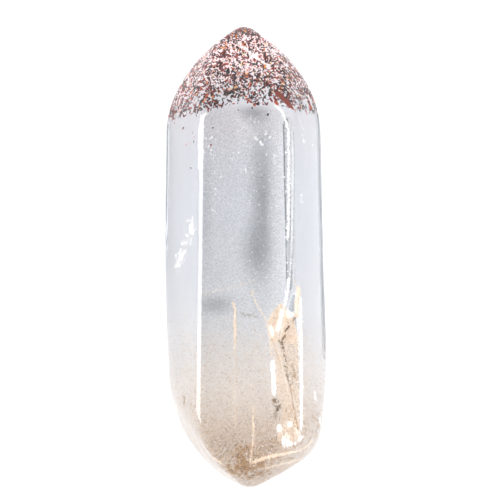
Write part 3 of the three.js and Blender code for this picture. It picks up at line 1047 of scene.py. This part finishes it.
# The room's brightness by height, from straight below to straight above
SKY = [(0.0, (1.3, 1.3, 1.3)), (0.45, (1.1, 1.1, 1.12)), (0.8, (0.7, 0.72, 0.76)), (0.97, (0.4, 0.42, 0.46))]
SKY_STRENGTH = 1.0
# From where to where the room's left side is dimmer, and how bright each side is
SKY_SIDE = (-0.9, 0.2, 0.72, 1.0)
# Windows: place in metres, side of the square, and power
WINDOWS = {
    "left_window": ((-0.42, 0.0, 0.26), 0.3, 2.2),
    "right_window": ((0.26, 0.0, 0.42), 0.2, 0.35),
}


def add_camera():
    data = bpy.data.cameras.new("camera")
    data.lens = LENS
    data.sensor_width = SENSOR
    data.clip_start = NEAR_CLIP
    data.clip_end = FAR_CLIP
    camera = bpy.data.objects.new("camera", data)
    bpy.context.scene.collection.objects.link(camera)
    camera.location = Vector((*VIEW_CENTRE, AXIS_HEIGHT + CAMERA_DISTANCE)) * MM
    bpy.context.scene.camera = camera


def add_floor():
    made, nodes, links = new_material("pale_floor")
    out = nodes.new("ShaderNodeOutputMaterial")
    shader = nodes.new("ShaderNodeBsdfDiffuse")
    shader.inputs["Color"].default_value = FLOOR_COLOUR
    links.new(shader.outputs["BSDF"], out.inputs["Surface"])
    half = FLOOR_HALF_WIDTH
    corners = [(-half, -half, 0), (half, -half, 0), (half, half, 0), (-half, half, 0)]
    floor = make_mesh("floor", corners, [(0, 1, 2, 3)])
    floor.location.z = -FLOOR_DROP * MM
    floor.data.materials.append(made)


def add_window(name, at, side, power):
    """A soft square light that faces the crystal, seen in its reflections but not through it."""
    data = bpy.data.lights.new(name, "AREA")
    data.shape = "RECTANGLE"
    data.energy = power
    data.size = side
    data.size_y = side
    lamp = bpy.data.objects.new(name, data)
    bpy.context.scene.collection.objects.link(lamp)
    lamp.location = at
    lamp.rotation_mode = "QUATERNION"
    lamp.rotation_quaternion = (-Vector(at)).to_track_quat("-Z", "Y")
    lamp.visible_transmission = False


def add_room():
    """A white room that is dimmer overhead, where the camera is, and a little dimmer at the left."""
    world = bpy.data.worlds.new("soft_studio")
    world.use_nodes = True
    nodes, links = world.node_tree.nodes, world.node_tree.links
    sky = nodes["Background"]
    where = nodes.new("ShaderNodeTexCoord")
    split = nodes.new("ShaderNodeSeparateXYZ")
    links.new(where.outputs["Generated"], split.inputs["Vector"])
    ramp = colour_ramp(nodes, SKY)
    links.new(split.outputs["Z"], ramp.inputs["Fac"])
    side = map_range(nodes, links, split.outputs["X"], *SKY_SIDE)
    dimmed = mixed_colour(nodes, links, 1.0, ramp.outputs["Color"], side, "MULTIPLY")
    links.new(dimmed, sky.inputs["Color"])
    sky.inputs["Strength"].default_value = SKY_STRENGTH
    bpy.context.scene.world = world
    bpy.context.scene.view_settings.view_transform = "Standard"


# The whole

def add_piece(piece, material):
    piece.data.materials.append(material)
    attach(piece, BODY)
    return piece


add_camera()
add_floor()
add_room()
for name, window in WINDOWS.items():
    add_window(name, *window)

crystal = add_piece(build_crystal(), quartz_material())
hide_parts("quartz_crystal")

looks = {name: grain_material(name, *values) for name, values in GRAINS.items()}
looks["root_cloud"] = cloud_material()

# Each kind of inclusion, and what it is made of
inclusions = [
    (platelets("platelets_fine", 4300, 0.24, 0.12, (0.1, 0.7), seed=1, patchy=0.35), "lepidocrocite"),
    (platelets("platelets_coarse", 950, 0.35, 0.19, (0.2, 0.9), seed=2, patchy=0.6), "lepidocrocite"),
    (stray_platelets(), "lepidocrocite"),
    (blades(), "blade_red"),
    (tip_haze("tip_haze_deep", 26000, 0.12, (0.9, 1.9), seed=17), "rosy_dust"),
    (tip_haze("tip_haze_shallow", 4000, 0.07, (0.1, 0.6), seed=18), "rosy_dust"),
    (root_cloud("root_cloud_fine", 48000, 0.07, seed=11), "root_cloud"),
    (root_cloud("root_cloud_finer", 34000, 0.06, seed=23), "root_cloud"),
    (root_cloud("root_cloud_coarse", 5000, 0.14, seed=12), "root_cloud"),
    (streaks("cream_streaks", CREAM_STREAKS, seed=13), "cream_grains"),
    (streaks("white_cracks_and_painted_highlights", WHITE_CRACKS_AND_PAINTED_HIGHLIGHTS, seed=14), "white_dust_and_painted_highlights"),
    (streaks("dirt_streaks", DIRT_STREAKS, seed=15), "dirt_grains"),
    (streaks("shade_streaks", SHADE_STREAKS, seed=22), "shade_grains"),
    (streaks("tan_streaks", TAN_STREAKS, seed=19), "tan_grains"),
    (joint_skin(), "skin_grains"),
    (panel_dust(), "white_dust_and_painted_highlights"),
    (panel_flecks(), "white_dust_and_painted_highlights"),
]
for piece, look in inclusions:
    add_piece(piece, looks[look])
    piece.visible_shadow = False
